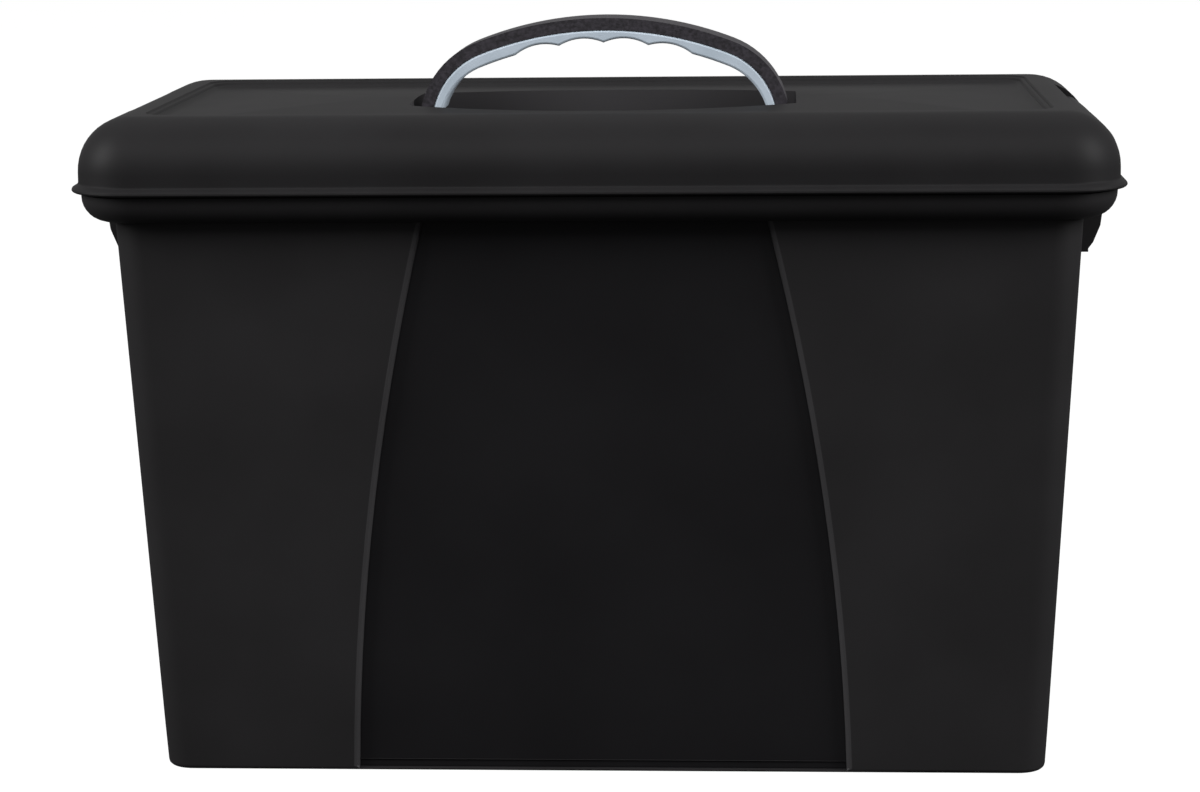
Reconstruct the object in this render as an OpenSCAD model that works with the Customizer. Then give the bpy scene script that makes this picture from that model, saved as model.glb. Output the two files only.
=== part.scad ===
/* [Tub] */
// Width of the tub just under its collar
tub_w = 388; // [370:1:420]
// Depth of the tub just under its collar
tub_d = 188; // [180:1:230]
// Height from the floor to the seat that the lid rests on
tub_h = 243; // [200:1:280]
// How far each wall leans in between collar and floor
tub_taper = 11; // [8:0.5:14]
// Radius of the upright corners of the tub
tub_corner = 12; // [8:1:16]
// Rounding of the bottom edge
foot_round = 2; // [1:0.5:4]
// Thickness of the moulded walls
wall = 2.5; // [2:0.1:3]
// How far the collar stands out from the wall below it
collar_out = 13; // [12:0.5:14]
// Height of the collar
collar_h = 11.5; // [10:0.5:14]
// Rounding of the collar's underside
collar_round = 10; // [8:0.5:10]
// Radius of the collar's corners seen from above
collar_corner = 24; // [22:1:28]
// Height of the rim that stands up inside the lid
tongue_h = 5; // [3:0.5:5]

/* [Latch stops] */
// Width of the hollow stop under the collar on each short side
stop_w = 92; // [70:1:100]
// How far the stop stands out from the wall at its top
stop_out = 11.3; // [9:0.1:11.4]
// Height of the stop under the collar
stop_h = 20; // [16:1:30]

/* [Sunken panels] */
// Depth of the sunken panel in the front and in the back
panel_depth = 3; // [1.5:0.5:4]
// Width of the sunken panel under the collar
panel_top_w = 137; // [110:1:160]
// Width of the sunken panel at the floor
panel_foot_w = 202; // [180:1:230]
// How far the panel's curved sides bow outwards
panel_bow = 6.5; // [3:0.5:9]

/* [File rails] */
// Width of the rail that file hooks hang on
rail_w = 2.5; // [2:0.5:3.5]
// Height of the rail over its ledge
rail_h = 4; // [2:0.5:5]
// Distance of the rail from the edge of the ledge
rail_inset = 1; // [0.5:0.5:2]
// Gap between each end of a rail and the collar's inner wall
rail_end_gap = 22; // [18:1:30]

/* [Lid] */
// How far the lid's lip stands out from the collar
lip_out = 3; // [2.5:0.5:4]
// How far the lip's bead stands out from the lid's side
bead_out = 2; // [1.5:0.5:3]
// Height of the bead
bead_h = 2.4; // [2:0.2:4]
// Height of the lid from its seat to its crest
lid_h = 30; // [29:0.5:34]
// Radius of the lid's shoulder
shoulder_r = 22; // [20:0.5:22]
// Width of the crest between the shoulder and the sunken top
crest_w = 3.5; // [2.5:0.5:6]
// Depth of the sunken top at its edge
top_depth = 3.3; // [2.5:0.1:4]
// How far the slope of the sunken top runs inwards
top_slope = 5; // [3:0.5:7]
// How far the middle of the sunken top swells up again
top_crown = 3; // [1:0.1:3]
// Radius of the corners of the sunken top
top_corner = 12; // [8:1:16]

/* [Handle] */
// Overall width of the handle
handle_w = 156; // [140:1:165]
// Height of the handle over its pivot
handle_rise = 45.8; // [42:0.2:48]
// Width of the strap from front to back
strap_w = 24; // [20:0.5:24]
// Thickness of the strap
strap_t = 5; // [4:0.5:6]
// Radius of the handle's long top curve
arch_r = 150; // [145:5:200]
// Radius of the handle's outer bends
bend_r = 37; // [26:1:38]
// Thickness of the grip between the finger ridges
grip_t = 3.3; // [2.5:0.1:4]
// How far the finger ridges stand out from the grip
ridge_h = 2; // [1:0.1:3]
// Distance from one finger ridge to the next
ridge_pitch = 19.5; // [17:0.5:21]
// Number of finger hollows
fingers = 4; // [3:1:4]
// Depth of the pivot under the lid's crest
pivot_depth = 13; // [12.5:0.5:13]
// Diameter of the handle pins
handle_pin_d = 5; // [4:0.5:6]

/* [Handle pocket] */
// Gap between the folded handle and the pocket's curved side
pocket_gap = 3.2; // [2.8:0.2:4]
// Radius of the pocket's curved sides
pocket_r = 165; // [150:5:165]
// Gap between the strap and the pocket's end wall
pocket_end_gap = 2.5; // [2:0.5:4]
// Gap between the strap and the pocket's floor
pocket_floor_gap = 1.5; // [1:0.1:2]

/* [Latches] */
// Width of a latch
latch_w = 92; // [70:1:110]
// Thickness of the latch plate
latch_t = 2.7; // [2.2:0.1:3]
// Distance of the latch pin inside the lid's side
latch_pin_in = 9.5; // [9:0.5:10]
// Height of the latch pin over the start of the shoulder
latch_pin_up = 10.5; // [10:0.5:11]
// Diameter of the latch pins
latch_pin_d = 3; // [2.5:0.5:3.5]
// Radius of the knuckle round the latch pin
knuckle_r = 5.2; // [4.5:0.1:5.2]
// Radius of the latch's upper curve
cap_r = 14.8; // [14:0.2:15]
// Radius of the bead along the latch's lower edge, which clips under the collar
clip_r = 1.9; // [1.8:0.1:2.6]
// Depth of the bead's middle under the seat
clip_drop = 6.8; // [5:0.2:8]
// Thickness of the cheeks that hold the latch pin
cheek_t = 2.7; // [2:0.1:4]

/* [Fits] */
// Gap between pieces that move past each other
gap = 0.3; // [0.3:0.05:0.4]
// Gap between a pin and its bore, on the radius
pin_gap = 0.05; // [0.03:0.01:0.08]
// Gap all round between the lid's wall and the rim inside it
rim_gap = 0.5; // [0.3:0.1:0.8]

/* [Hidden] */
thin = 0.2;
over = 1;
far = 500;
round_fn = 48;
corner_steps = 8;
bend_steps = 16;
arch_steps = 40;
wide_fn = 720;

black = [0.08, 0.08, 0.09];
soft_black = [0.13, 0.12, 0.14];
grey_blue = [0.62, 0.66, 0.71];
steel = [0.75, 0.76, 0.78];

collar_z = tub_h - gap - collar_h;
ledge_z = collar_z + wall;
lean = atan(tub_taper / collar_z);
stop_curve = [[0.5, 0], [0.5, 0.07], [0.67, 0.2], [0.92, 0.55], [1, 0.9]];
collar_w = tub_w + 2 * collar_out;
collar_d = tub_d + 2 * collar_out;
lip_corner = collar_corner + lip_out;
lid_w = collar_w + 2 * (lip_out - bead_out);
lid_d = collar_d + 2 * (lip_out - bead_out);
lid_corner = lip_corner - bead_out;
crest_z = tub_h + lid_h;
shoulder_z = crest_z - shoulder_r;
tongue_w = lid_w - 2 * (wall + rim_gap);
tongue_d = lid_d - 2 * (wall + rim_gap);
tongue_corner = lid_corner - wall - rim_gap;
store_w = tongue_w - 2 * wall;
store_d = tongue_d - 2 * wall;
store_corner = tongue_corner - wall;

top_w = lid_w - 2 * (shoulder_r + crest_w);
top_d = lid_d - 2 * (shoulder_r + crest_w);
crown_w = top_w - 2 * top_slope;
crown_d = top_d - 2 * top_slope;
crown_z = crest_z - top_depth + top_crown;

pivot_z = crest_z - pivot_depth;
leg_x = handle_w / 2;
arch_z = handle_rise - arch_r;
bend_x = leg_x - bend_r;
bend_z = arch_z + sqrt(pow(arch_r - bend_r, 2) - pow(bend_x, 2));
pocket_half = handle_rise + pocket_gap;
pocket_x = leg_x + pocket_end_gap;
pocket_z = pivot_z - strap_w / 2 - pocket_floor_gap;
pin_head_r = handle_pin_d / 2 + 2;
pin_head_t = 2;
pin_boss_r = handle_pin_d / 2 + 3.5;
pin_seat = 4;
grip_end = pin_boss_r + 1;
ridge_step = ridge_pitch / (arch_r - strap_t) * 180 / PI;
hollow_r = (pow(ridge_pitch / 2, 2) + pow(ridge_h, 2)) / (2 * ridge_h);

side_x = lid_w / 2;
latch_x = side_x - latch_pin_in;
latch_z = shoulder_z + latch_pin_up;
notch_x = latch_x - knuckle_r - gap;
notch_half = latch_w / 2 + gap;
plate_x = side_x + gap;
clip_x = collar_w / 2 + gap + clip_r;
clip_z = tub_h - clip_drop;
cap_join = 50;
web_foot = 25;

module rounded(w, d, r) {
    square([w - 2 * r, d], center = true);
    square([w, d - 2 * r], center = true);
    for (x = [-1, 1], y = [-1, 1])
        translate([x * (w / 2 - r), y * (d / 2 - r)]) circle(r);
}

// Points along an arc, given its centre, radius, first and last angle and number of steps
function arc(centre, r, a0, a1, steps) =
    [for (i = [0:steps]) let (a = a0 + (a1 - a0) * i / steps) centre + r * [cos(a), sin(a)]];

// Points round a rectangle with rounded corners
function ring(w, d, r) =
    [for (i = [0:3]) let (sx = i == 0 || i == 3 ? 1 : -1, sy = i < 2 ? 1 : -1)
        each arc([sx * (w / 2 - r), sy * (d / 2 - r)], r, 90 * i, 90 * i + 90, corner_steps)];

module slab(w, d, r, z, h = thin) {
    translate([0, 0, z]) linear_extrude(h) polygon(ring(w, d, r));
}

module block(w, d, r, z0, z1) {
    translate([0, 0, z0]) linear_extrude(z1 - z0) rounded(w, d, r, $fn = round_fn);
}

// Region between two straight lines from the origin, with angles from +X
module wedge(a0, a1, reach) {
    polygon([[0, 0], reach * [cos(a0), sin(a0)],
             1.5 * reach * [cos((a0 + a1) / 2), sin((a0 + a1) / 2)], reach * [cos(a1), sin(a1)]]);
}

// Outline of a sunken panel: two straight ends, two sides bowed outwards
module panel_outline(grow) {
    half_top = panel_top_w / 2;
    half_foot = panel_foot_w / 2;
    chord = norm([half_foot - half_top, collar_z]);
    side_r = (pow(chord / 2, 2) + pow(panel_bow, 2)) / (2 * panel_bow);
    tilt = atan2(half_foot - half_top, collar_z);
    reach = side_r - panel_bow;
    centre = [(half_top + half_foot) / 2 - reach * cos(tilt), collar_z / 2 - reach * sin(tilt)];
    intersection() {
        translate(centre) circle(side_r + grow, $fn = wide_fn);
        translate([-centre[0], centre[1]]) circle(side_r + grow, $fn = wide_fn);
        translate([-half_foot - 2 * grow - over, -over])
            square([2 * (half_foot + 2 * grow + over), collar_z + over]);
    }
}

// Cutter that lies along a leaning wall, from outside it to a depth inside it
module panel_cut(grow, depth) {
    translate([0, -(tub_d / 2 - tub_taper), 0]) rotate([lean, 0, 0])
        translate([0, depth, 0]) rotate([90, 0, 0])
            linear_extrude(depth + 2 * wall) panel_outline(grow);
}

module both_walls() {
    children();
    rotate([0, 0, 180]) children();
}

module tub_shape(inset, z0, z1, foot) {
    foot_w = tub_w - 2 * tub_taper - 2 * inset;
    foot_d = tub_d - 2 * tub_taper - 2 * inset;
    r = tub_corner - inset;
    hull() {
        slab(foot_w - 2 * foot, foot_d - 2 * foot, r - foot, z0);
        slab(foot_w, foot_d, r, z0 + foot);
        slab(tub_w - 2 * inset, tub_d - 2 * inset, r, z1);
    }
}

module collar() {
    hull() {
        slab(collar_w, collar_d, collar_corner, collar_z + collar_round, collar_h - collar_round);
        for (a = [18:18:90])
            slab(collar_w - 2 * collar_round * (1 - cos(a)), collar_d - 2 * collar_round * (1 - cos(a)),
                 collar_corner - collar_round * (1 - cos(a)), collar_z + collar_round * (1 - sin(a)));
    }
}

// Side view of a latch stop between two heights, drawn in by an inset
module stop_outline(inset, z0, z1) {
    root = (tub_w - wall) / 2;
    polygon(concat([[root, z1], [root, z0]],
        [for (p = stop_curve) [tub_w / 2 + stop_out * p[0] - inset,
                               p[1] == 0 ? z0 : collar_z - stop_h * (1 - p[1])]],
        [[tub_w / 2 + stop_out - inset, z1]]));
}

// Hollow block under the collar that the latch's bead rests beside, open below
module latch_stop() {
    rotate([90, 0, 0]) difference() {
        linear_extrude(stop_w, center = true)
            stop_outline(0, collar_z - stop_h, ledge_z + wall);
        linear_extrude(stop_w - 2 * wall, center = true)
            stop_outline(wall, collar_z - stop_h - over, collar_z - over);
    }
}

module tub() {
    color(black) {
        difference() {
            union() {
                difference() {
                    tub_shape(0, 0, collar_z, foot_round);
                    both_walls() panel_cut(0, panel_depth);
                }
                collar();
                for (s = [0, 1]) mirror([s, 0, 0]) latch_stop();
                block(tongue_w, tongue_d, tongue_corner, ledge_z, tub_h + tongue_h);
            }
            difference() {
                tub_shape(wall, wall, ledge_z, foot_round);
                both_walls() panel_cut(wall, panel_depth + wall);
            }
            block(store_w, store_d, store_corner, ledge_z, tub_h + tongue_h + over);
        }
        for (s = [-1, 1])
            translate([s * (tub_w / 2 - wall + rail_inset + rail_w / 2) - rail_w / 2,
                       -store_d / 2 + rail_end_gap, ledge_z - wall / 2])
                cube([rail_w, store_d - 2 * rail_end_gap, rail_h + wall / 2]);
    }
}

// Solid under the lid's outer surface, or under a surface that far inside it
module lid_dome(inset, z0) {
    r = shoulder_r - inset;
    hull() {
        slab(lid_w - 2 * inset, lid_d - 2 * inset, lid_corner - inset, z0);
        for (a = [0:15:90])
            slab(lid_w - 2 * inset - 2 * r * (1 - cos(a)), lid_d - 2 * inset - 2 * r * (1 - cos(a)),
                 lid_corner - inset - r * (1 - cos(a)), shoulder_z + r * sin(a) - thin);
    }
}

// Solid under the swelling of the sunken top
module crown(drop) {
    front_r = (pow(crown_d / 2, 2) + pow(top_crown, 2)) / (2 * top_crown);
    side_r = (pow(crown_w / 2, 2) + pow(top_crown, 2)) / (2 * top_crown);
    intersection() {
        translate([0, 0, crown_z - drop - front_r]) rotate([0, 90, 0])
            cylinder(h = far, r = front_r, center = true, $fn = wide_fn);
        translate([0, 0, crown_z - drop - side_r]) rotate([90, 0, 0])
            cylinder(h = far, r = side_r, center = true, $fn = 4 * wide_fn);
        translate([-far / 2, -far / 2, 0]) cube([far, far, far]);
    }
}

module top_cut() {
    difference() {
        hull() {
            slab(top_w + 2 * top_slope / top_depth, top_d + 2 * top_slope / top_depth, top_corner, crest_z + 1);
            slab(crown_w, crown_d, top_corner - top_slope / 2, crest_z - top_depth);
        }
        crown(0);
    }
}

// Outline of the handle's pocket: two curved sides cut square at the ends
module pocket_outline(grow) {
    intersection() {
        translate([0, pocket_half - pocket_r]) circle(pocket_r + grow, $fn = wide_fn);
        translate([0, pocket_r - pocket_half]) circle(pocket_r + grow, $fn = wide_fn);
        square([2 * (pocket_x + grow), 4 * pocket_half], center = true);
    }
}

module pin_bosses(x0, x1) {
    for (s = [0, 1]) mirror([s, 0, 0]) translate([x0, 0, pivot_z]) rotate([0, 90, 0])
        cylinder(h = x1 - x0, r = pin_boss_r, $fn = round_fn);
}

module lid() {
    color(black) difference() {
        union() {
            difference() {
                lid_dome(0, tub_h);
                intersection() {
                    lid_dome(wall, tub_h - over);
                    crown(wall);
                }
            }
            difference() {
                hull() {
                    for (z = [0, bead_h])
                        slab(lid_w, lid_d, lid_corner, tub_h + z - (z > 0 ? thin : 0));
                    for (z = [bead_h * 0.3, bead_h * 0.7])
                        slab(lid_w + 2 * bead_out, lid_d + 2 * bead_out, lip_corner, tub_h + z);
                }
                block(lid_w - 2 * wall, lid_d - 2 * wall, lid_corner - wall, tub_h - over, tub_h + bead_h + over);
                for (s = [0, 1]) mirror([s, 0, 0])
                    translate([side_x, -notch_half, tub_h - over])
                        cube([bead_out + over, 2 * notch_half, bead_h + 2 * over]);
            }
            intersection() {
                lid_dome(0, tub_h);
                union() {
                    translate([0, 0, pocket_z - wall]) linear_extrude(crest_z - pocket_z + wall)
                        pocket_outline(wall);
                    pin_bosses(pocket_x, pocket_x + wall + pin_seat);
                    for (s = [0, 1]) mirror([s, 0, 0])
                        translate([notch_x - wall, -notch_half - cheek_t, shoulder_z - wall])
                            cube([side_x, 2 * (notch_half + cheek_t), far]);
                }
            }
        }
        top_cut();
        difference() {
            translate([0, 0, pocket_z]) linear_extrude(crest_z - pocket_z + over) pocket_outline(0);
            pin_bosses(leg_x + gap, pocket_x + over);
        }
        for (s = [0, 1]) mirror([s, 0, 0]) {
            translate([notch_x, -notch_half, shoulder_z]) cube([side_x, 2 * notch_half, far]);
            latch_bar([latch_x, latch_z], latch_pin_d / 2 + pin_gap, 2 * (notch_half + cheek_t + over));
            translate([leg_x, 0, pivot_z]) rotate([0, 90, 0])
                cylinder(h = pocket_end_gap + wall + pin_seat + over, r = handle_pin_d / 2 + pin_gap,
                         $fn = round_fn);
        }
    }
}

// Everything under the handle's outer curve, drawn in by an inset; the pivot is the origin
module arch_outline(inset) {
    tilt = atan2(bend_z - arch_z, bend_x);
    step = (180 - 2 * tilt) / arch_steps;
    polygon(concat(
        arc([bend_x, bend_z], bend_r - inset, 0, tilt, bend_steps),
        arc([0, arch_z], arch_r - inset, tilt + step, 180 - tilt - step, arch_steps - 2),
        arc([-bend_x, bend_z], bend_r - inset, 180 - tilt, 180, bend_steps),
        [[-leg_x + inset, -strap_w], [leg_x - inset, -strap_w]]));
}

module pivot_tool(r, h) {
    rotate([0, 90, 0]) cylinder(h = h, r = r, center = true, $fn = round_fn);
}

module handle() {
    color(soft_black) translate([0, 0, pivot_z]) difference() {
        intersection() {
            rotate([90, 0, 0]) linear_extrude(strap_w, center = true) difference() {
                arch_outline(0);
                arch_outline(strap_t);
            }
            union() {
                pivot_tool(strap_w / 2, handle_w + over);
                translate([-leg_x - over, -strap_w / 2, 0]) cube([handle_w + 2 * over, strap_w, far]);
            }
        }
        pivot_tool(handle_pin_d / 2 + pin_gap, handle_w + over);
    }
}

module grip_outline() {
    ridge_inset = strap_t + grip_t + ridge_h;
    intersection() {
        difference() {
            union() {
                difference() {
                    arch_outline(strap_t);
                    arch_outline(strap_t + grip_t);
                }
                intersection() {
                    difference() {
                        arch_outline(strap_t + grip_t / 2);
                        arch_outline(ridge_inset);
                    }
                    translate([0, arch_z])
                        wedge(90 - ridge_step * (fingers + 1) / 2, 90 + ridge_step * (fingers + 1) / 2, far);
                }
            }
            for (i = [0:fingers + 1])
                translate([0, arch_z]) rotate((i - (fingers + 1) / 2) * ridge_step)
                    translate([0, arch_r - strap_t - grip_t - hollow_r]) circle(hollow_r, $fn = 4 * round_fn);
        }
        translate([-leg_x, grip_end]) square([handle_w, far]);
    }
}

module handle_grip() {
    color(grey_blue) translate([0, 0, pivot_z]) rotate([90, 0, 0])
        linear_extrude(strap_w, center = true) grip_outline();
}

module handle_pin() {
    shaft_end = pocket_x + wall + pin_seat;
    color(steel) translate([0, 0, pivot_z]) rotate([0, 90, 0]) {
        translate([0, 0, leg_x - strap_t - gap - pin_head_t])
            cylinder(h = pin_head_t, r = pin_head_r, $fn = round_fn);
        translate([0, 0, leg_x - strap_t - gap - pin_head_t / 2])
            cylinder(h = shaft_end - leg_x + strap_t + gap + pin_head_t / 2, r = handle_pin_d / 2,
                     $fn = round_fn);
    }
}

module handle_pin_left() { mirror([1, 0, 0]) handle_pin(); }
module handle_pin_right() { handle_pin(); }

// Side view of a latch without its knuckle and bead: X outwards, Y upwards
module latch_outline() {
    cap = [plate_x + latch_t - cap_r, shoulder_z];
    pin = [latch_x, latch_z];
    polygon(concat(
        [pin, pin + knuckle_r * [cos(cap_join), sin(cap_join)]],
        arc(cap, cap_r, cap_join, 0, 10),
        [[plate_x + latch_t, clip_z], [plate_x, clip_z]],
        arc(cap, cap_r - latch_t, 0, web_foot, 4),
        [pin - [0, knuckle_r * 0.8]]));
}

module latch_bar(pos, r, length) {
    translate([pos[0], 0, pos[1]]) rotate([90, 0, 0])
        cylinder(h = length, r = r, center = true, $fn = round_fn);
}

module latch() {
    color(black) difference() {
        union() {
            rotate([90, 0, 0]) linear_extrude(latch_w, center = true) latch_outline();
            latch_bar([latch_x, latch_z], knuckle_r, latch_w);
            latch_bar([clip_x, clip_z], clip_r, latch_w);
        }
        latch_bar([latch_x, latch_z], latch_pin_d / 2 + pin_gap, latch_w + 2 * over);
    }
}

module latch_left() { mirror([1, 0, 0]) latch(); }
module latch_right() { latch(); }

module latch_pin() {
    color(steel) latch_bar([latch_x, latch_z], latch_pin_d / 2, 2 * (notch_half + cheek_t));
}

module latch_pin_left() { mirror([1, 0, 0]) latch_pin(); }
module latch_pin_right() { latch_pin(); }

tub();
lid();
handle();
handle_grip();
handle_pin_left();
handle_pin_right();
latch_left();
latch_right();
latch_pin_left();
latch_pin_right();
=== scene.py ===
import math
import bmesh
import bpy
from mathutils import Matrix, Vector


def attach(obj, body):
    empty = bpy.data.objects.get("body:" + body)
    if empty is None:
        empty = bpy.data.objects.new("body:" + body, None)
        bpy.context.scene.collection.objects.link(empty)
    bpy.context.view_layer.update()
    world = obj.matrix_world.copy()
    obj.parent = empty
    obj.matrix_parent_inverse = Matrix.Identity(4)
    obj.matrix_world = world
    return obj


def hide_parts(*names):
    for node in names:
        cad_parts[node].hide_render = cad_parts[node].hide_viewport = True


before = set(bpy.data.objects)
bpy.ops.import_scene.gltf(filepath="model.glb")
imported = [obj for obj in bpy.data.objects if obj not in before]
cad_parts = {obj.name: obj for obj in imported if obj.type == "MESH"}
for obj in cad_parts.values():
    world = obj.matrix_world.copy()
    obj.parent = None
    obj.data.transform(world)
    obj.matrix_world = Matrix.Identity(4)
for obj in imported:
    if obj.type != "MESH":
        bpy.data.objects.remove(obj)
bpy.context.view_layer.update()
mm = 0.001

camera = {"place": (0.07315, -1.30452, 0.38874), "yaw": -0.0590, "pitch": 0.1861, "roll": -0.0119,
          "lens": 92.386, "sensor": 36.0}


def addCamera():
    yaw, pitch, roll = camera["yaw"], camera["pitch"], camera["roll"]
    ahead = Vector((math.sin(yaw) * math.cos(pitch), math.cos(yaw) * math.cos(pitch), -math.sin(pitch)))
    level = Vector((math.cos(yaw), -math.sin(yaw), 0))
    above = level.cross(ahead)
    side = level * math.cos(roll) + above * math.sin(roll)
    top = above * math.cos(roll) - level * math.sin(roll)
    lens = bpy.data.cameras.new("PhotoCamera")
    lens.lens, lens.sensor_width, lens.sensor_fit = camera["lens"], camera["sensor"], "HORIZONTAL"
    lens.clip_start, lens.clip_end = 0.05, 30
    eye = bpy.data.objects.new("PhotoCamera", lens)
    turn = Matrix((side, top, -ahead)).transposed().to_4x4()
    eye.matrix_world = Matrix.Translation(Vector(camera["place"])) @ turn
    bpy.context.scene.collection.objects.link(eye)
    bpy.context.scene.camera = eye


addCamera()
print("camera set")

# materials


def newMaterial(name):
    material = bpy.data.materials.new(name)
    material.use_nodes = True
    nodes, links = material.node_tree.nodes, material.node_tree.links
    shader = nodes["Principled BSDF"]
    place = nodes.new("ShaderNodeTexCoord")
    return material, nodes, links, shader, place.outputs["Object"]


def noiseField(nodes, links, place, scale, detail, stretch=(1, 1, 1)):
    mapping = nodes.new("ShaderNodeMapping")
    mapping.inputs["Scale"].default_value = stretch
    links.new(place, mapping.inputs["Vector"])
    noise = nodes.new("ShaderNodeTexNoise")
    noise.inputs["Scale"].default_value = scale
    noise.inputs["Detail"].default_value = detail
    links.new(mapping.outputs["Vector"], noise.inputs["Vector"])
    return noise.outputs["Fac"]


def rampOf(nodes, links, field, stops):
    ramp = nodes.new("ShaderNodeValToRGB")
    for stop, (position, colour) in zip(ramp.color_ramp.elements, stops):
        stop.position, stop.color = position, (*colour, 1)
    links.new(field, ramp.inputs["Fac"])
    return ramp.outputs["Color"]


def rangeOf(nodes, links, field, low, high, start=0.3, end=0.7):
    span = nodes.new("ShaderNodeMapRange")
    for socket, value in (("From Min", start), ("From Max", end), ("To Min", low), ("To Max", high)):
        span.inputs[socket].default_value = value
    links.new(field, span.inputs["Value"])
    return span.outputs["Result"]


def mouldedPlastic(name, finish):
    material, nodes, links, shader, place = newMaterial(name)
    cloud = noiseField(nodes, links, place, finish["cloudScale"], 3)
    grain = noiseField(nodes, links, place, finish["grainScale"], 2)
    stops = ((0.35, finish["dark"]), (0.65, finish["light"]))
    links.new(rampOf(nodes, links, cloud, stops), shader.inputs["Base Color"])
    links.new(rangeOf(nodes, links, cloud, *finish["roughness"]), shader.inputs["Roughness"])
    bump = nodes.new("ShaderNodeBump")
    bump.inputs["Strength"].default_value = finish["bump"]
    bump.inputs["Distance"].default_value = finish["grainDepth"]
    links.new(grain, bump.inputs["Height"])
    links.new(bump.outputs["Normal"], shader.inputs["Normal"])
    shader.inputs["IOR"].default_value = 1.46
    shader.inputs["Specular IOR Level"].default_value = finish["specular"]
    return material


def drawnSteel(name, finish):
    material, nodes, links, shader, place = newMaterial(name)
    lines = noiseField(nodes, links, place, finish["lineScale"], 4, finish["stretch"])
    stops = ((0.3, finish["dark"]), (0.7, finish["light"]))
    links.new(rampOf(nodes, links, lines, stops), shader.inputs["Base Color"])
    links.new(rangeOf(nodes, links, lines, *finish["roughness"]), shader.inputs["Roughness"])
    shader.inputs["Metallic"].default_value = 1
    return material


shellFinish = {"dark": (0.0120, 0.0115, 0.0121), "light": (0.0145, 0.0139, 0.0147), "cloudScale": 14,
               "grainScale": 1300, "grainDepth": 0.00006, "bump": 0.35, "roughness": (0.50, 0.56), "specular": 0.13}
panelFinish = {**shellFinish, "dark": (0.0058, 0.0055, 0.0062), "light": (0.0070, 0.0067, 0.0075), "bump": 0.1}
# painted highlight: a lighter copy of the shell plastic for the rounded panel edges, in place of the light they catch
panelEdgeHighlightFinish = {**shellFinish, "dark": (0.026, 0.0252, 0.0264), "light": (0.031, 0.030, 0.0315)}
lidFinish = {**shellFinish, "dark": (0.0085, 0.0081, 0.0086), "light": (0.0105, 0.0101, 0.0107),
             "roughness": (0.48, 0.54), "specular": 0.085}
# painted light: a lighter copy of the lid plastic for the handle pocket, standing in for light on its walls
pocketPaintedLightFinish = {**lidFinish, "dark": (0.034, 0.0325, 0.0345), "light": (0.040, 0.0385, 0.0405)}
strapFinish = {**shellFinish, "dark": (0.010, 0.0088, 0.011), "light": (0.026, 0.023, 0.029), "cloudScale": 700,
               "grainScale": 1100, "grainDepth": 0.0001, "bump": 0.6, "specular": 0.35}
gripFinish = {**shellFinish, "dark": (0.32, 0.375, 0.43), "light": (0.37, 0.425, 0.485), "cloudScale": 60,
              "bump": 0.3, "roughness": (0.55, 0.65), "specular": 0.4}
latchFinish = {**shellFinish, "dark": (0.010, 0.0095, 0.0105), "light": (0.013, 0.0125, 0.0135)}
steelFinish = {"dark": (0.48, 0.48, 0.50), "light": (0.66, 0.66, 0.68), "lineScale": 90, "stretch": (30, 1, 30),
               "roughness": (0.24, 0.42)}

shellPlastic = mouldedPlastic("black shell plastic", shellFinish)
panelPlastic = mouldedPlastic("smooth panel plastic", panelFinish)
panelEdgeHighlightPlastic = mouldedPlastic("panel edge painted highlight plastic", panelEdgeHighlightFinish)
pocketPaintedLightPlastic = mouldedPlastic("pocket plastic painted lighter", pocketPaintedLightFinish)
lidPlastic = mouldedPlastic("black lid plastic", lidFinish)
strapPlastic = mouldedPlastic("textured strap plastic", strapFinish)
gripRubber = mouldedPlastic("blue-grey soft grip", gripFinish)
latchPlastic = mouldedPlastic("black latch plastic", latchFinish)
pinSteel = drawnSteel("drawn pin steel", steelFinish)
print("materials made")

# shared modelling steps


def vertsOf(made):
    return [g for g in made if isinstance(g, bmesh.types.BMVert)]


def startRing(bm, halfWidth, halfDepth, radius, height, steps, marks=()):
    verts = [bm.verts.new((x * mm, y * mm, height * mm)) for x, y in
             ((halfWidth, halfDepth), (-halfWidth, halfDepth), (-halfWidth, -halfDepth), (halfWidth, -halfDepth))]
    bm.faces.new(verts)
    bmesh.ops.bevel(bm, geom=verts, offset=radius * mm, segments=steps, profile=0.5, affect="VERTICES",
                    material=-1)
    for x in marks:
        bmesh.ops.bisect_plane(bm, geom=bm.verts[:] + bm.edges[:] + bm.faces[:], plane_co=(x * mm, 0, 0),
                               plane_no=(1, 0, 0))
    bmesh.ops.dissolve_faces(bm, faces=bm.faces[:])
    bmesh.ops.delete(bm, geom=bm.faces[:], context="FACES_ONLY")
    return bm.edges[:]


def nextRing(bm, ring, before, after, marks=None):  # sizes: half width, half depth, corner radius, height
    made = bmesh.ops.extrude_edge_only(bm, edges=ring)["geom"]
    verts = set(vertsOf(made))
    for v in verts:
        placeOnRing(v, before, after, marks)
    return [e for v in verts for e in v.link_edges if e.other_vert(v) in verts and e.verts[0] is v]


def placeOnRing(v, before, after, marks):
    halfWidth, halfDepth, radius, height = (value * mm for value in after)
    across = abs(v.co.x) - (before[0] - before[2]) * mm
    along = abs(v.co.y) - (before[1] - before[2]) * mm
    signX, signY = math.copysign(1, v.co.x), math.copysign(1, v.co.y)
    if across < -1e-5 or along < -1e-5:  # on a straight side, between the corners
        if across < -1e-5:
            v.co.y = signY * halfDepth
            if marks is not None:
                v.co.x = signX * marks * mm
        else:
            v.co.x = signX * halfWidth
    else:
        angle = math.atan2(max(along, 0), max(across, 0))
        v.co.x = signX * (halfWidth - radius + radius * math.cos(angle))
        v.co.y = signY * (halfDepth - radius + radius * math.sin(angle))
    v.co.z = height


def closeRing(bm, ring):
    return bmesh.ops.contextual_create(bm, geom=ring)["faces"]


def growRings(bm, ring, before, sizes):
    for size in sizes:
        ring = nextRing(bm, ring, before, size)
        before = size[:3]
    return ring, before


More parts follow.
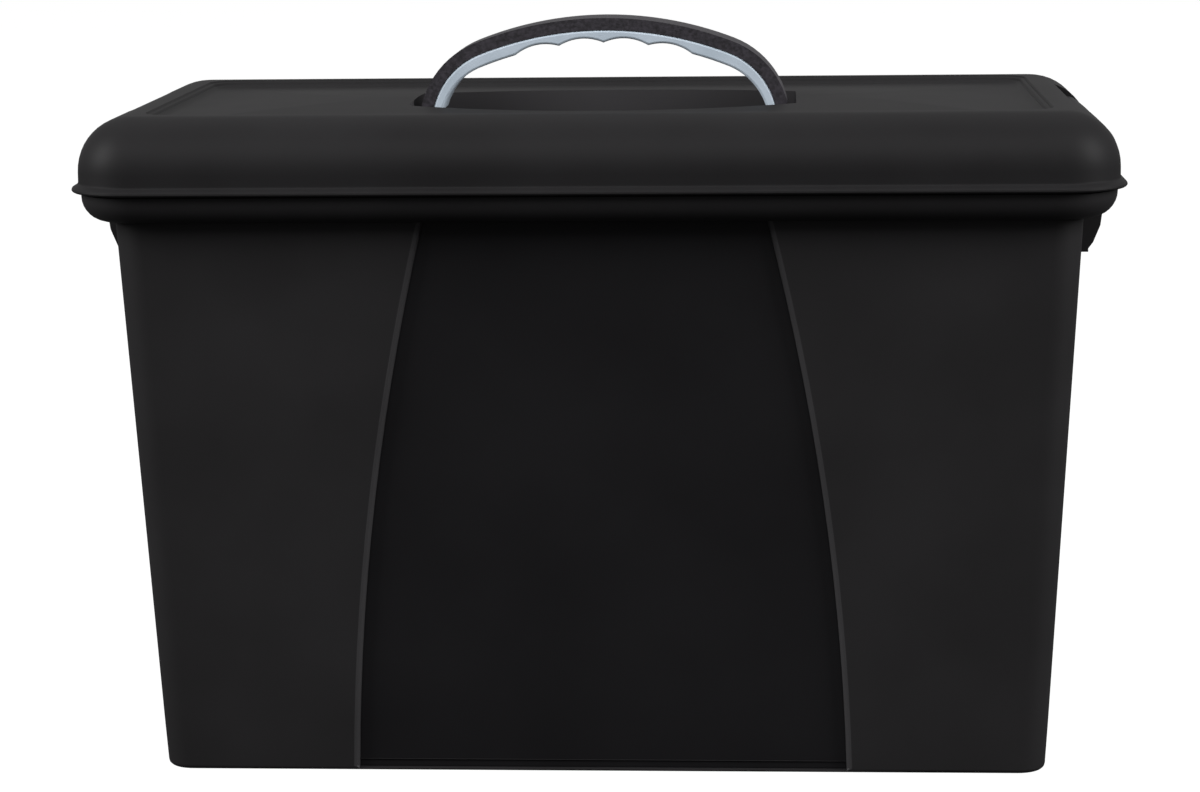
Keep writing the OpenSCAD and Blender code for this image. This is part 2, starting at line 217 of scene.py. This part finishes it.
def arcPoints(centreOut, centreUp, radius, start, end, steps):  # angles in degrees
    turns = [math.radians(start + (end - start) * i / steps) for i in range(steps + 1)]
    return [(centreOut + radius * math.cos(a), centreUp + radius * math.sin(a)) for a in turns]


def dress(piece, material, sharpAngle, bevel, segments=2):
    if len(piece.data.materials):  # clearing an empty list would reset the faces' finishes
        piece.data.materials.clear()
    piece.data.materials.append(material)
    piece.data.shade_smooth()
    piece.data.set_sharp_from_angle(angle=math.radians(sharpAngle))
    edge = piece.modifiers.new("EdgeRounding", "BEVEL")
    edge.width, edge.segments, edge.limit_method = bevel * mm, segments, "ANGLE"
    edge.angle_limit = math.radians(sharpAngle)
    even = piece.modifiers.new("EvenShading", "WEIGHTED_NORMAL")
    even.keep_sharp, even.weight = True, 50
    return piece


def objectOf(bm, name="Tool"):
    bmesh.ops.recalc_face_normals(bm, faces=bm.faces[:])
    mesh = bpy.data.meshes.new(name)
    bm.to_mesh(mesh)
    bm.free()
    piece = bpy.data.objects.new(name, mesh)
    bpy.context.scene.collection.objects.link(piece)
    return piece


def cutWith(piece, tool, how="DIFFERENCE"):
    step = piece.modifiers.new("Cut", "BOOLEAN")
    step.operation, step.object, step.solver = how, tool, "EXACT"
    bpy.context.view_layer.update()
    seen = piece.evaluated_get(bpy.context.evaluated_depsgraph_get())
    mesh = bpy.data.meshes.new_from_object(seen)
    piece.modifiers.remove(step)
    piece.data = mesh
    bpy.data.objects.remove(tool)


def blockTool(x0, x1, y0, y1, z0, z1):
    bm = bmesh.new()
    bmesh.ops.create_cube(bm, size=1)
    bmesh.ops.scale(bm, vec=((x1 - x0) * mm, (y1 - y0) * mm, (z1 - z0) * mm), verts=bm.verts[:])
    bmesh.ops.translate(bm, vec=((x0 + x1) / 2 * mm, (y0 + y1) / 2 * mm, (z0 + z1) / 2 * mm), verts=bm.verts[:])
    return objectOf(bm)


def rodTool(x0, x1, y, z, radius, steps=48):
    bm = bmesh.new()
    place = Matrix.Translation(((x0 + x1) / 2 * mm, y * mm, z * mm)) @ Matrix.Rotation(math.pi / 2, 4, "Y")
    bmesh.ops.create_cone(bm, cap_ends=True, segments=steps, radius1=radius * mm, radius2=radius * mm,
                          depth=(x1 - x0) * mm, matrix=place)
    return objectOf(bm)


def prism(points, half, name="Tool"):  # a side view in X and Z, drawn out evenly to both sides along Y
    bm = bmesh.new()
    verts = [bm.verts.new((x * mm, -half * mm, z * mm)) for x, z in points]
    edges = [bm.edges.new((verts[i - 1], verts[i])) for i in range(len(verts))]
    closeRing(bm, edges)
    made = bmesh.ops.extrude_face_region(bm, geom=bm.faces[:])["geom"]
    bmesh.ops.translate(bm, vec=(0, 2 * half * mm, 0), verts=vertsOf(made))
    return objectOf(bm, name)


def mirrorMesh(piece):
    bm = bmesh.new()
    bm.from_mesh(piece.data)
    bmesh.ops.scale(bm, vec=(-1, 1, 1), verts=bm.verts[:])
    bmesh.ops.reverse_faces(bm, faces=bm.faces[:])
    bm.to_mesh(piece.data)
    bm.free()


def settle(piece, body, slot, *nodes):
    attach(piece, body)
    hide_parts(*nodes)


# tub

tub = {"halfWidth": 194, "halfDepth": 94, "corner": 12, "lean": 11, "foot": 2, "wall": 2.5, "neck": 231.2,
       "collarHalf": (207, 107), "collarRound": 10, "collarCorner": 24, "collarEase": 0.5, "collarTop": 242.7,
       "rimHalf": (205, 105), "rimCorner": 22, "rimEase": 0.6, "rimTop": 248, "ledge": 233.7,
       "rows": 14, "cornerSteps": 12, "edge": 0.5,
       "panelTop": 68.5, "panelFoot": 101, "panelBow": 6.5, "panelDepth": 3, "panelEdge": 2.2, "panelReach": 120,
       "stopHalf": 46, "stopFace": 205.3, "stopRoot": 192.75, "stopLip": 2.3,
       "stopSpan": (-20, 1.3, 4.7), "stopHollow": (-21, -1, -0.9),  # heights from the neck
       "stopCurve": ((5.65, 211.2), (5.65, 212.6), (3.73, 215.2), (0.9, 222.2), (0, 229.2)),
       "railPlace": 193.75, "railWidth": 2.5, "railTop": 237.7, "railEnd": 80.5}


def panelEdge(height, grow=0):
    t = height / tub["neck"]
    return tub["panelFoot"] + (tub["panelTop"] - tub["panelFoot"]) * t + 4 * tub["panelBow"] * t * (1 - t) + grow


def wallRows(inset, low, high, downwards=False):
    rows = []
    for i in range(tub["rows"] + 1):
        t = i / tub["rows"]
        height = low + (high - low) * t
        shrink = tub["lean"] * (1 - height / tub["neck"]) + inset
        rows.append((tub["halfWidth"] - shrink, tub["halfDepth"] - shrink, tub["corner"] - inset, height))
    return rows[::-1] if downwards else rows


def sinkPanels(bm, inset, depth, low, high, finish):
    for side in (-1, 1):
        faces = []
        for face in bm.faces:
            middle = face.calc_center_median() / mm
            flat = abs(face.normal.y) > 0.5 and low < middle.z < high
            shrink = tub["lean"] * (1 - middle.z / tub["neck"]) + inset
            onWall = abs(abs(middle.y) - (tub["halfDepth"] - shrink)) < 0.3
            if side * middle.y > 0 and flat and onWall and abs(middle.x) < panelEdge(middle.z, inset) - 1:
                faces.append(face)
        geom = list({g for f in faces for g in (f, *f.edges, *f.verts)})
        made = bmesh.ops.extrude_face_region(bm, geom=geom)["geom"]
        bmesh.ops.translate(bm, vec=(0, -side * depth * mm, 0), verts=vertsOf(made))
        for face in made:
            if isinstance(face, bmesh.types.BMFace):
                face.material_index = finish


def roundPanelEdges(bm):
    bm.normal_update()
    edges = []
    for edge in bm.edges:
        middle = (edge.verts[0].co + edge.verts[1].co) / 2 / mm
        shrink = tub["lean"] * (1 - middle.z / tub["neck"])
        onWall = abs(abs(middle.y) - (tub["halfDepth"] - shrink)) < 0.05 and tub["foot"] < middle.z < tub["neck"]
        bent = len(edge.link_faces) == 2 and edge.calc_face_angle() > 1
        if onWall and bent and abs(middle.x) < tub["panelReach"]:
            edges.append(edge)
    made = bmesh.ops.bevel(bm, geom=edges, offset=tub["panelEdge"] * mm, segments=4, profile=0.5, affect="EDGES",
                           material=-1)
    for face in made["faces"]:
        face.material_index = 2  # painted highlight: the lighter plastic on the rounded panel edges


def dropFootCaps(bm, height):
    caps = [f for f in bm.faces if all(abs(v.co.z - height * mm) < 1e-6 for v in f.verts)]
    bmesh.ops.delete(bm, geom=caps, context="FACES")
    rims = [e for e in bm.edges if e.is_boundary and all(abs(v.co.z - height * mm) < 1e-6 for v in e.verts)]
    closeRing(bm, rims)


def makeTub():
    bm = bmesh.new()
    wall, foot, lean = tub["wall"], tub["foot"], tub["lean"]
    base = (tub["halfWidth"] - lean, tub["halfDepth"] - lean, tub["corner"])
    marks = (-panelEdge(0), panelEdge(0))
    ring = startRing(bm, base[0] - foot, base[1] - foot, base[2] - foot, 0, tub["cornerSteps"], marks)
    before = (base[0] - foot, base[1] - foot, base[2] - foot)
    for out, up in arcPoints(-foot, foot, foot, -60, 0, 2):
        size = (base[0] + out, base[1] + out, base[2] + out, up)
        ring = nextRing(bm, ring, before, size, panelEdge(up))
        before = size[:3]
    for size in wallRows(0, foot, tub["neck"])[1:]:
        ring = nextRing(bm, ring, before, size, panelEdge(size[3]))
        before = size[:3]
    outX, outY = tub["collarHalf"]
    curve = arcPoints(-tub["collarRound"], tub["collarRound"], tub["collarRound"], -90, 0, 8)
    corner, top, ease = tub["collarCorner"], tub["collarTop"], tub["collarEase"]
    sizes = [(outX + o, outY + o, corner + o, tub["neck"] + u) for o, u in curve]
    sizes += [(outX, outY, corner, top - ease), (outX - ease, outY - ease, corner - ease, top)]
    rim, ease = (*tub["rimHalf"], tub["rimCorner"]), tub["rimEase"]
    for inset, height in ((0, top), (0, tub["rimTop"] - ease), (ease, tub["rimTop"]), (wall - ease, tub["rimTop"]),
                          (wall, tub["rimTop"] - ease), (wall, tub["ledge"])):
        sizes.append((*(value - inset for value in rim), height))
    ring, before = growRings(bm, ring, before, sizes)
    for size in wallRows(wall, wall + foot, tub["ledge"], downwards=True):
        ring = nextRing(bm, ring, before, size, panelEdge(min(size[3], tub["neck"]), wall))
        before = size[:3]
    size = (before[0] - foot, before[1] - foot, before[2] - foot, wall)
    ring = nextRing(bm, ring, before, size, panelEdge(wall, wall))
    bm.normal_update()
    sinkPanels(bm, 0, tub["panelDepth"], 0, tub["neck"], 1)
    sinkPanels(bm, wall, tub["panelDepth"], wall, tub["neck"], 0)
    dropFootCaps(bm, 0)
    dropFootCaps(bm, wall)
    roundPanelEdges(bm)
    for side in (-1, 1):
        made = bmesh.ops.create_cube(bm, size=1)["verts"]
        low, high = tub["ledge"] - 1, tub["railTop"]
        bmesh.ops.scale(bm, vec=(tub["railWidth"] * mm, 2 * tub["railEnd"] * mm, (high - low) * mm), verts=made)
        bmesh.ops.translate(bm, vec=(side * tub["railPlace"] * mm, 0, (low + high) / 2 * mm), verts=made)
        stop = makeStop()
        if side < 0:
            mirrorMesh(stop)
        bm.from_mesh(stop.data)
        bpy.data.objects.remove(stop)
    shell = dress(objectOf(bm, "TubShell"), shellPlastic, 35, tub["edge"])
    shell.data.materials.append(panelPlastic)
    shell.data.materials.append(panelEdgeHighlightPlastic)
    return shell


def stopOutline(inset, low, high, top):
    face, root = tub["stopFace"] - inset, tub["stopRoot"]
    curve = [(face - back, low if i == 0 else up) for i, (back, up) in enumerate(tub["stopCurve"])]
    return [(root, high), (root, low), *curve, (face, top), (face - tub["stopLip"], top),
            (face - tub["stopLip"], high)]


def makeStop():
    wall = tub["wall"]
    span, hollow = ([tub["neck"] + up for up in tub[name]] for name in ("stopSpan", "stopHollow"))
    stop = prism(stopOutline(0, *span), tub["stopHalf"])
    cutWith(stop, prism(stopOutline(wall, *hollow), tub["stopHalf"] - wall))
    return stop


settle(makeTub(), "tub", "shell", "tub")
print("tub made")

# lid

lid = {"half": (208, 108), "corner": 25, "seat": 243,
       "lip": ((2.0, 0.1), (2.5, 0.4), (2.8, 0.9), (2.7, 1.5), (2.3, 2.0), (1.5, 2.5), (0.7, 2.9), (0.2, 3.5),
               (0.05, 4.2)),
       "wall": 2.5, "shoulder": 251, "round": 22, "crest": 273, "crestWidth": 3.5, "drop": 3.3,
       "crown": 3, "crownHalf": (177.5, 77.5), "crownPower": 0.8, "topCorner": 12, "topRings": 10, "topEye": 6,
       "step": ((0, 0), (0.55, 0.8), (1.1, 0.5), (2.1, 1.0), (2.65, 1.9), (3.2, 1.75), (4.0, 2.25), (5.0, 2.7),
                (6.2, 2.95)),
       "ceilingHalf": (183.5, 83.5), "ceilingCorner": 9,
       "pocketHalf": (80.5, 49), "pocketRadius": 165, "pocketFloor": 246.5,
       "socket": (78.3, 90), "socketRadius": 6, "pivot": 260,
       "notchIn": 193, "notchFloor": 251, "notchHalf": 46.3, "cheek": 2.7, "slot": (208.02, 230, 245.6),
       "cornerSteps": 12, "edge": 0.45, "clearOut": 230, "clearUp": 290}


def crownHeight(x, y, drop=0):
    u, v = (min(abs(value) / half, 1) for value, half in zip((x, y), lid["crownHalf"]))
    power = lid["crownPower"]
    return lid["crest"] - lid["drop"] + lid["crown"] * (1 - u * u) ** power * (1 - v * v) ** power - drop


def fillTop(bm, ring, before, drop=0):  # rings that close in over the swelling top
    start, count = before, lid["topRings"]
    for i in range(1, count + 1):
        inset = (start[1] - lid["topEye"]) * i / count
        radius = max(start[2] - inset, 2)
        size = (start[0] - inset, start[1] - inset, radius, 0)
        ring = nextRing(bm, ring, before, size)
        for v in {v for e in ring for v in e.verts}:
            v.co.z = crownHeight(v.co.x / mm, v.co.y / mm, drop) * mm
        before = size[:3]
    closeRing(bm, ring)


def domeSizes(inset):
    halfX, halfY = lid["half"][0] - inset, lid["half"][1] - inset
    corner, radius = lid["corner"] - inset, lid["round"] - inset
    turn = arcPoints(-radius, 0, radius, 0, 90, 12)
    return [(halfX + o, halfY + o, max(corner + o, 0.4), lid["shoulder"] + u) for o, u in turn]


def topEdge(last):  # crest, groove, short slope, groove, soft foot; pairs of run and fall
    inX, inY, up = last[0] - lid["crestWidth"], last[1] - lid["crestWidth"], last[3]
    return [(inX - run, inY - run, lid["topCorner"] - run / 2, up - fall) for run, fall in lid["step"]]


def outerSolid():
    bm = bmesh.new()
    halfX, halfY = lid["half"]
    ring = startRing(bm, halfX, halfY, lid["corner"], lid["seat"], lid["cornerSteps"])
    closeRing(bm, ring)
    before = (halfX, halfY, lid["corner"])
    sizes = [(halfX + o, halfY + o, lid["corner"] + o, lid["seat"] + u) for o, u in lid["lip"]]
    dome = domeSizes(0)
    sizes += dome + topEdge(dome[-1])
    ring, before = growRings(bm, ring, before, sizes)
    fillTop(bm, ring, before)
    return objectOf(bm, "LidShell")


def innerSolid():
    bm = bmesh.new()
    wall = lid["wall"]
    halfX, halfY = lid["half"][0] - wall, lid["half"][1] - wall
    ring = startRing(bm, halfX, halfY, lid["corner"] - wall, lid["seat"] - 5, lid["cornerSteps"])
    closeRing(bm, ring)
    ceiling = lid["crest"] - lid["drop"] - wall
    dome = [s for s in domeSizes(wall) if s[3] < ceiling - 1]
    ring, before = growRings(bm, ring, (halfX, halfY, lid["corner"] - wall), dome)
    ring, before = growRings(bm, ring, before, [(*lid["ceilingHalf"], lid["ceilingCorner"], ceiling)])
    fillTop(bm, ring, before, wall)
    return objectOf(bm, "Hollow")


def lensTool(grow, low, high):
    bm = bmesh.new()
    halfX, halfY = (value + grow for value in lid["pocketHalf"])
    radius = lid["pocketRadius"] + grow
    half = math.asin(halfX / radius)
    centre = halfY - radius
    start = bm.verts.new((halfX * mm, (centre + radius * math.cos(half)) * mm, low * mm))
    bmesh.ops.spin(bm, geom=[start], cent=(0, centre * mm, low * mm), axis=(0, 0, 1), angle=2 * half, steps=40)
    copy = bmesh.ops.duplicate(bm, geom=bm.verts[:] + bm.edges[:])["geom"]
    bmesh.ops.rotate(bm, cent=(0, 0, low * mm), matrix=Matrix.Rotation(math.pi, 3, "Z"), verts=vertsOf(copy))
    ends = [v for v in bm.verts if len(v.link_edges) == 1]
    for side in (-1, 1):
        bm.edges.new([v for v in ends if v.co.x * side > 0])
    closeRing(bm, bm.edges[:])
    made = bmesh.ops.extrude_face_region(bm, geom=bm.faces[:])["geom"]
    bmesh.ops.translate(bm, vec=(0, 0, (high - low) * mm), verts=vertsOf(made))
    return objectOf(bm)


def sideBlock(side, start, half, low, high):  # a block from a place on X out past the lid's end
    ends = sorted((side * start, side * lid["clearOut"]))
    return blockTool(*ends, -half, half, low, high)


def makeLid():
    shell, hollow = outerSolid(), innerSolid()
    floor, above = lid["notchFloor"], lid["clearUp"]
    slotIn, slotLow, slotTop = lid["slot"]
    cutWith(hollow, lensTool(lid["wall"], lid["pocketFloor"] - lid["wall"], above))
    for side in (-1, 1):
        notchSide = lid["notchHalf"] + lid["cheek"]
        cutWith(hollow, sideBlock(side, lid["notchIn"] - lid["wall"], notchSide, floor - lid["wall"], above))
    cutWith(shell, hollow)
    lens = lensTool(0, lid["pocketFloor"], above)
    for side in (-1, 1):
        ends = sorted(side * x for x in lid["socket"])
        cutWith(lens, rodTool(*ends, 0, lid["pivot"], lid["socketRadius"]))
    cutWith(shell, lens)
    for side in (-1, 1):
        cutWith(shell, sideBlock(side, lid["notchIn"], lid["notchHalf"], floor, above))
        cutWith(shell, sideBlock(side, slotIn, lid["notchHalf"], slotLow, slotTop))
    dress(shell, lidPlastic, 24, lid["edge"])
    shell.data.materials.append(pocketPaintedLightPlastic)
    halfX, halfY = (value + 0.1 for value in lid["pocketHalf"])
    low, high = lid["pocketFloor"] - 0.1, lid["crest"] - lid["drop"] - 0.2
    # faces inside the handle pocket get the painted light copy of the lid plastic
    for face in shell.data.polygons:
        x, y, z = face.center / mm
        if abs(x) < halfX and abs(y) < halfY and low < z < high:
            face.material_index = 1
    return shell


settle(makeLid(), "lid", "lid_shell", "lid")
print("lid made")

# handle

handle = {"pivot": 260, "halfWidth": 78, "rise": 45.8, "strapWidth": 24, "thick": 5, "archRadius": 150,
          "bendRadius": 37, "boreRadius": 2.55, "edge": 0.9, "gripThick": 3.3, "ridge": 2, "ridgePitch": 19.5,
          "fingers": 4, "gripEnd": 7, "gripEdge": 1.0, "clear": (90, 20, 60)}
archCentre = handle["rise"] - handle["archRadius"]
bendPlace = handle["halfWidth"] - handle["bendRadius"]
bendUp = archCentre + math.sqrt((handle["archRadius"] - handle["bendRadius"]) ** 2 - bendPlace ** 2)
bendTurn = math.atan2(bendUp - archCentre, bendPlace)


def sweepBand(bm, outer, thick, width, foot, archSteps):  # a flat band: leg, bend, arch, bend, leg
    z0 = handle["pivot"] + foot
    x1, x0 = handle["halfWidth"] - outer, handle["halfWidth"] - outer - thick
    corners = [(x0, -width / 2), (x1, -width / 2), (x1, width / 2), (x0, width / 2)]
    face = bm.faces.new([bm.verts.new((x * mm, y * mm, z0 * mm)) for x, y in corners])
    geom = [face, *face.edges, *face.verts]

    def tipOf(made):
        tip = [g for g in made if isinstance(g, bmesh.types.BMFace)][0]
        return [tip, *tip.edges, *tip.verts]

    def push(geom, vec):
        made = bmesh.ops.extrude_face_region(bm, geom=geom)["geom"]
        bmesh.ops.translate(bm, vec=vec, verts=vertsOf(made))
        return tipOf(made)

    def turn(geom, x, z, angle, steps):
        made = bmesh.ops.spin(bm, geom=geom, cent=(x * mm, 0, z * mm), axis=(0, -1, 0), angle=angle, steps=steps)
        return tipOf(made["geom_last"])

    up = bendUp - foot
    geom = push(geom, (0, 0, up * mm))
    geom = turn(geom, bendPlace, handle["pivot"] + bendUp, bendTurn, 14)
    geom = turn(geom, 0, handle["pivot"] + archCentre, math.pi - 2 * bendTurn, archSteps)
    geom = turn(geom, -bendPlace, handle["pivot"] + bendUp, bendTurn, 14)
    push(geom, (0, 0, -up * mm))
    return bm


def makeStrap():
    bm = bmesh.new()
    width, pivot = handle["strapWidth"], handle["pivot"]
    sweepBand(bm, 0, handle["thick"], width, -width / 2, 30)
    strap = objectOf(bm, "HandleStrap")
    bm = bmesh.new()
    spot = Matrix.Translation((0, 0, pivot * mm)) @ Matrix.Rotation(math.pi / 2, 4, "Y")
    bmesh.ops.create_cone(bm, cap_ends=True, segments=96, radius1=width / 2 * mm, radius2=width / 2 * mm,
                          depth=160 * mm, matrix=spot)
    foot = objectOf(bm)  # what stays: the round feet and all above them
    out, deep, tall = handle["clear"]
    cutWith(foot, blockTool(-out, out, -deep, deep, pivot + 0.01, pivot + tall), "UNION")
    cutWith(strap, foot, "INTERSECT")
    cutWith(strap, rodTool(-out, out, 0, pivot, handle["boreRadius"]))
    return dress(strap, strapPlastic, 30, handle["edge"], 3)


def scallop(angle):  # height of the finger ridges at an angle from the middle of the arch
    place = abs(angle) * (handle["archRadius"] - handle["thick"])
    pitch, count, ridge = handle["ridgePitch"], handle["fingers"], handle["ridge"]
    if place > pitch * count / 2:
        return ridge
    offset = (place + (0 if count % 2 == 0 else pitch / 2)) % pitch
    return ridge * (abs(offset - pitch / 2) / (pitch / 2)) ** 2


def makeGrip():
    bm = bmesh.new()
    under = handle["thick"] + 0.02  # a hair under the strap
    sweepBand(bm, under, handle["gripThick"], handle["strapWidth"], 0, 150)
    inner, innerBend = (handle[name] - under - handle["gripThick"] for name in ("archRadius", "bendRadius"))
    top, knee = handle["pivot"] + archCentre, handle["pivot"] + bendUp
    for v in bm.verts:
        away = Vector((v.co.x / mm, 0, v.co.z / mm - top))
        angle, lift = math.atan2(away.x, away.z), 0
        if abs(angle) < math.pi / 2 - bendTurn + 0.001:
            if away.length < inner + 0.05:
                lift = scallop(angle)
        else:
            away = Vector((abs(v.co.x / mm) - bendPlace, 0, v.co.z / mm - knee))
            turned = math.atan2(away.z, away.x)
            if away.length < innerBend + 0.05 and turned > -0.01:
                lift = handle["ridge"] * (turned / bendTurn) ** 0.7
            away.x *= math.copysign(1, v.co.x)
        step = away.normalized() * lift * mm
        v.co.x, v.co.z = v.co.x - step.x, v.co.z - step.z
    low = (handle["pivot"] + handle["gripEnd"]) * mm
    bmesh.ops.bisect_plane(bm, geom=bm.verts[:] + bm.edges[:] + bm.faces[:], plane_co=(0, 0, low),
                           plane_no=(0, 0, 1), clear_inner=True)
    bmesh.ops.holes_fill(bm, edges=[e for e in bm.edges if e.is_boundary])
    return dress(objectOf(bm, "HandleGrip"), gripRubber, 50, handle["gripEdge"], 3)


settle(makeStrap(), "handle", "strap", "handle")
settle(makeGrip(), "handle", "grip", "handle_grip")
print("handle made")

# latches

latch = {"half": 46, "thick": 2.7, "pin": (198.5, 261.5), "knuckle": 5.2, "capRadius": 14.8, "capUp": 251,
         "join": 50, "web": 25, "plate": 208.3, "clip": (209.2, 236.2), "clipRadius": 1.9, "bore": 1.55, "edge": 0.45}


def makeLatch(side, name):
    plate, outer = latch["plate"], latch["plate"] + latch["thick"]
    cap, pin, clip = (outer - latch["capRadius"], latch["capUp"]), latch["pin"], latch["clip"]
    reach = [math.degrees(math.acos((x - clip[0]) / latch["clipRadius"])) for x in (plate, outer)]
    points = arcPoints(*pin, latch["knuckle"], latch["join"], 299, 30)
    points += arcPoints(*cap, latch["capRadius"] - latch["thick"], latch["web"], 0, 6)
    points += arcPoints(*clip, latch["clipRadius"], reach[0], 360 + reach[1], 24)
    points += arcPoints(*cap, latch["capRadius"], 0, latch["join"], 14)
    piece = prism(points, latch["half"], name)
    bore = rodTool(-60, 60, 0, 0, latch["bore"])
    bore.data.transform(Matrix.Translation((pin[0] * mm, 0, pin[1] * mm)) @ Matrix.Rotation(math.pi / 2, 4, "Z"))
    cutWith(piece, bore)
    if side < 0:
        mirrorMesh(piece)
    return dress(piece, latchPlastic, 35, latch["edge"])


settle(makeLatch(-1, "LatchLeft"), "latch_left", "latch_plastic", "latch_left")
settle(makeLatch(1, "LatchRight"), "latch_right", "latch_plastic", "latch_right")
print("latches made")

# pins

for name in ("handle_pin_left", "handle_pin_right", "latch_pin_left", "latch_pin_right"):
    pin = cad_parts[name]
    pin.data.materials.clear()
    pin.data.materials.append(pinSteel)
print("pins dressed")

# studio

studio = {"floor": 6.0, "paper": (0.9, 0.9, 0.9), "bounce": (0.06, 0.06, 0.06), "show": 0.9, "white": 1.08,
          "fill": 0.27, "glossy": 0.37,
          "lamps": (
              {"name": "TopSoftbox", "place": (0.0, 0.4, 2.0), "aim": (0, 0, 0.2), "size": (2.6, 2.0), "power": 10},
              {"name": "LeftSoftbox", "place": (-2, -0.7, 1.25), "aim": (0, 0, 0.15), "size": (0.9, 1.2), "power": 58},
              {"name": "RightSoftbox", "place": (2, -0.7, 1.25), "aim": (0, 0, 0.15), "size": (0.9, 1.2), "power": 58},
              {"name": "FrontSoftbox", "place": (0, -1.9, 2.35), "aim": (0, 0, 0.15), "size": (2.8, 1.8), "power": 48})}


def addFloor():
    bm = bmesh.new()
    bmesh.ops.create_grid(bm, x_segments=1, y_segments=1, size=studio["floor"])
    mesh = bpy.data.meshes.new("StudioFloor")
    bm.to_mesh(mesh)
    bm.free()
    floor = bpy.data.objects.new("StudioFloor", mesh)
    bpy.context.scene.collection.objects.link(floor)
    material = bpy.data.materials.new("pale studio paper")
    material.use_nodes = True
    nodes, links = material.node_tree.nodes, material.node_tree.links
    nodes.clear()
    paper, bounce = nodes.new("ShaderNodeBsdfDiffuse"), nodes.new("ShaderNodeBsdfDiffuse")
    paper.inputs["Color"].default_value = (*studio["paper"], 1)
    bounce.inputs["Color"].default_value = (*studio["bounce"], 1)
    glow, path = nodes.new("ShaderNodeEmission"), nodes.new("ShaderNodeLightPath")
    glow.inputs["Strength"].default_value = studio["white"]
    seen, pick = nodes.new("ShaderNodeMixShader"), nodes.new("ShaderNodeMixShader")
    seen.inputs["Fac"].default_value = studio["show"]
    out = nodes.new("ShaderNodeOutputMaterial")
    links.new(paper.outputs[0], seen.inputs[1])
    links.new(glow.outputs[0], seen.inputs[2])
    links.new(path.outputs["Is Camera Ray"], pick.inputs["Fac"])
    links.new(bounce.outputs[0], pick.inputs[1])
    links.new(seen.outputs[0], pick.inputs[2])
    links.new(pick.outputs[0], out.inputs["Surface"])
    mesh.materials.append(material)


def addLamps():
    for lamp in studio["lamps"]:
        light = bpy.data.lights.new(lamp["name"], "AREA")
        light.shape, light.energy = "RECTANGLE", lamp["power"]
        light.size, light.size_y = lamp["size"]
        holder = bpy.data.objects.new(lamp["name"], light)
        holder.location = lamp["place"]
        holder.rotation_euler = (Vector(lamp["aim"]) - Vector(lamp["place"])).to_track_quat("-Z", "Y").to_euler()
        bpy.context.scene.collection.objects.link(holder)


def addWorld():
    world = bpy.data.worlds.new("studio world")
    bpy.context.scene.world = world
    world.use_nodes = True
    nodes, links = world.node_tree.nodes, world.node_tree.links
    nodes.clear()
    fill, gloss, white = (nodes.new("ShaderNodeBackground") for _ in range(3))
    for light, strength in ((fill, studio["fill"]), (gloss, studio["glossy"]), (white, 1)):
        light.inputs["Color"].default_value = (1, 1, 1, 1)
        light.inputs["Strength"].default_value = strength
    path, eye = nodes.new("ShaderNodeLightPath"), nodes.new("ShaderNodeMath")
    eye.operation = "MAXIMUM"
    soft, seen = nodes.new("ShaderNodeMixShader"), nodes.new("ShaderNodeMixShader")
    out = nodes.new("ShaderNodeOutputWorld")
    links.new(path.outputs["Is Glossy Ray"], soft.inputs["Fac"])
    links.new(fill.outputs[0], soft.inputs[1])
    links.new(gloss.outputs[0], soft.inputs[2])
    links.new(path.outputs["Is Camera Ray"], eye.inputs[0])
    links.new(path.outputs["Is Transmission Ray"], eye.inputs[1])
    links.new(eye.outputs[0], seen.inputs["Fac"])
    links.new(soft.outputs[0], seen.inputs[1])
    links.new(white.outputs[0], seen.inputs[2])
    links.new(seen.outputs[0], out.inputs["Surface"])
    world.cycles.sampling_method = "NONE"


addFloor()
addLamps()
addWorld()
bpy.context.scene.view_settings.view_transform = "Standard"
print("studio set")
